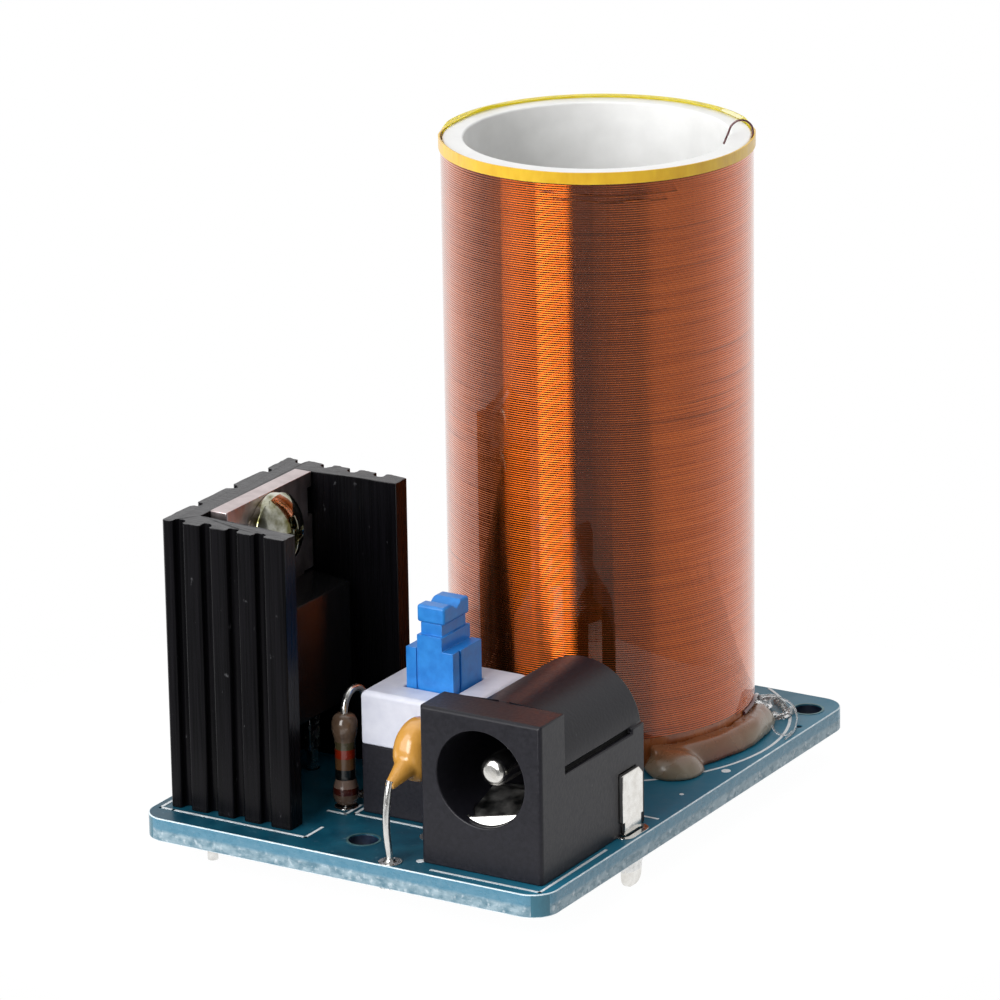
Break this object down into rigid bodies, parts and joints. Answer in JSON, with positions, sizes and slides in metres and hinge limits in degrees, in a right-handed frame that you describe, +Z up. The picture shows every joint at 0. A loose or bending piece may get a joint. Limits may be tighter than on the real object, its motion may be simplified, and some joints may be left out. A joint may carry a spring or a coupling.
{
  "type": "desktop resonant transformer",
  "caption": "Small resonant transformer demonstrator: tall air-cored coil, heat-sinked transistor driver, power socket and push switch on one circuit board.",
  "frame": {"origin": "under the middle of the circuit board, at the height of the longest lead tips", "axes": "+Z up along the coil's axis, +X to the right along the board's front edge, +Y from the front edge, where the power socket opens, to the back edge, where the coil stands"},
  "size_m": [0.031, 0.0416, 0.0461],
  "materials": {
    "board_laminate": "glossy dark teal-blue solder mask on glass-fibre laminate, matte cut edges",
    "tinned_copper": "bright tinned copper",
    "solder": "shiny solder",
    "masked_copper": "copper track under glossy solder mask",
    "white_tube": "smooth white plastic tube",
    "amber_tape": "thin translucent amber tape",
    "enamelled_wire": "close layer of glossy enamelled copper wire",
    "milky_glue": "milky translucent hot glue",
    "clear_glue": "clear shiny glue",
    "black_anodised": "black anodised extrusion with fine draw lines",
    "tinned_steel": "bright tinned leads",
    "plated_tab": "dull tin plate",
    "black_epoxy": "matte moulded epoxy",
    "zinc_screw": "zinc-plated steel",
    "black_plastic": "satin black moulded plastic",
    "nickel_contact": "bright nickel plate",
    "white_plastic": "satin white moulded plastic",
    "blue_plastic": "satin mid-blue moulded plastic",
    "spring_steel": "bright drawn steel wire",
    "resistor_paint": "tan lacquer with painted colour bands",
    "ochre_resin": "dipped ochre resin"
  },
  "bodies": {
    "board": {"circuit_board": "board_laminate", "solder_pads": "tinned_copper", "solder_joints": "solder", "driver_tracks": "masked_copper", "primary_coil_track": "masked_copper", "coil_former": "white_tube", "base_tape": "amber_tape", "rim_tape": "amber_tape", "secondary_winding": "enamelled_wire", "winding_top_lead": "enamelled_wire", "winding_bottom_lead": "enamelled_wire", "hot_glue_fillet": "milky_glue", "clear_glue_bead": "clear_glue", "heat_sink": "black_anodised", "heat_sink_pins": "tinned_steel", "transistor_tab": "plated_tab", "transistor_case": "black_epoxy", "transistor_legs": "tinned_steel", "clamp_screw": "zinc_screw", "jack_housing": "black_plastic", "jack_centre_pin": "nickel_contact", "jack_sleeve_contact": "nickel_contact", "jack_switch_contact": "nickel_contact", "switch_base": "black_plastic", "switch_cover": "white_plastic", "switch_spring": "spring_steel", "switch_terminals": "tinned_steel", "resistor_body": "resistor_paint", "resistor_leads": "tinned_steel", "capacitor_body": "ochre_resin", "capacitor_leads": "tinned_steel"},
    "plunger": {"switch_plunger": "blue_plastic", "switch_wipers": "nickel_contact"},
    "latch_pin": {"switch_latch_pin": "spring_steel"}
  },
  "joints": [
    {"name": "plunger_press", "type": "slide", "parent": "board", "child": "plunger", "axis": [0, 0, -1], "range_m": [0, 0.0022], "stiffness_N_per_m": 400, "springref_m": -0.0012, "deforming": ["switch_spring"]},
    {"name": "latch_pin_swing", "type": "hinge", "parent": "board", "child": "latch_pin", "pos_m": [0.00127, -0.00925, 0.0052], "axis": [0, 1, 0], "range_deg": [0, 7.2]}
  ],
  "couplings": [
    {"joint": "latch_pin_swing", "follows": "plunger_press", "rad_per_m": 56}
  ]
}
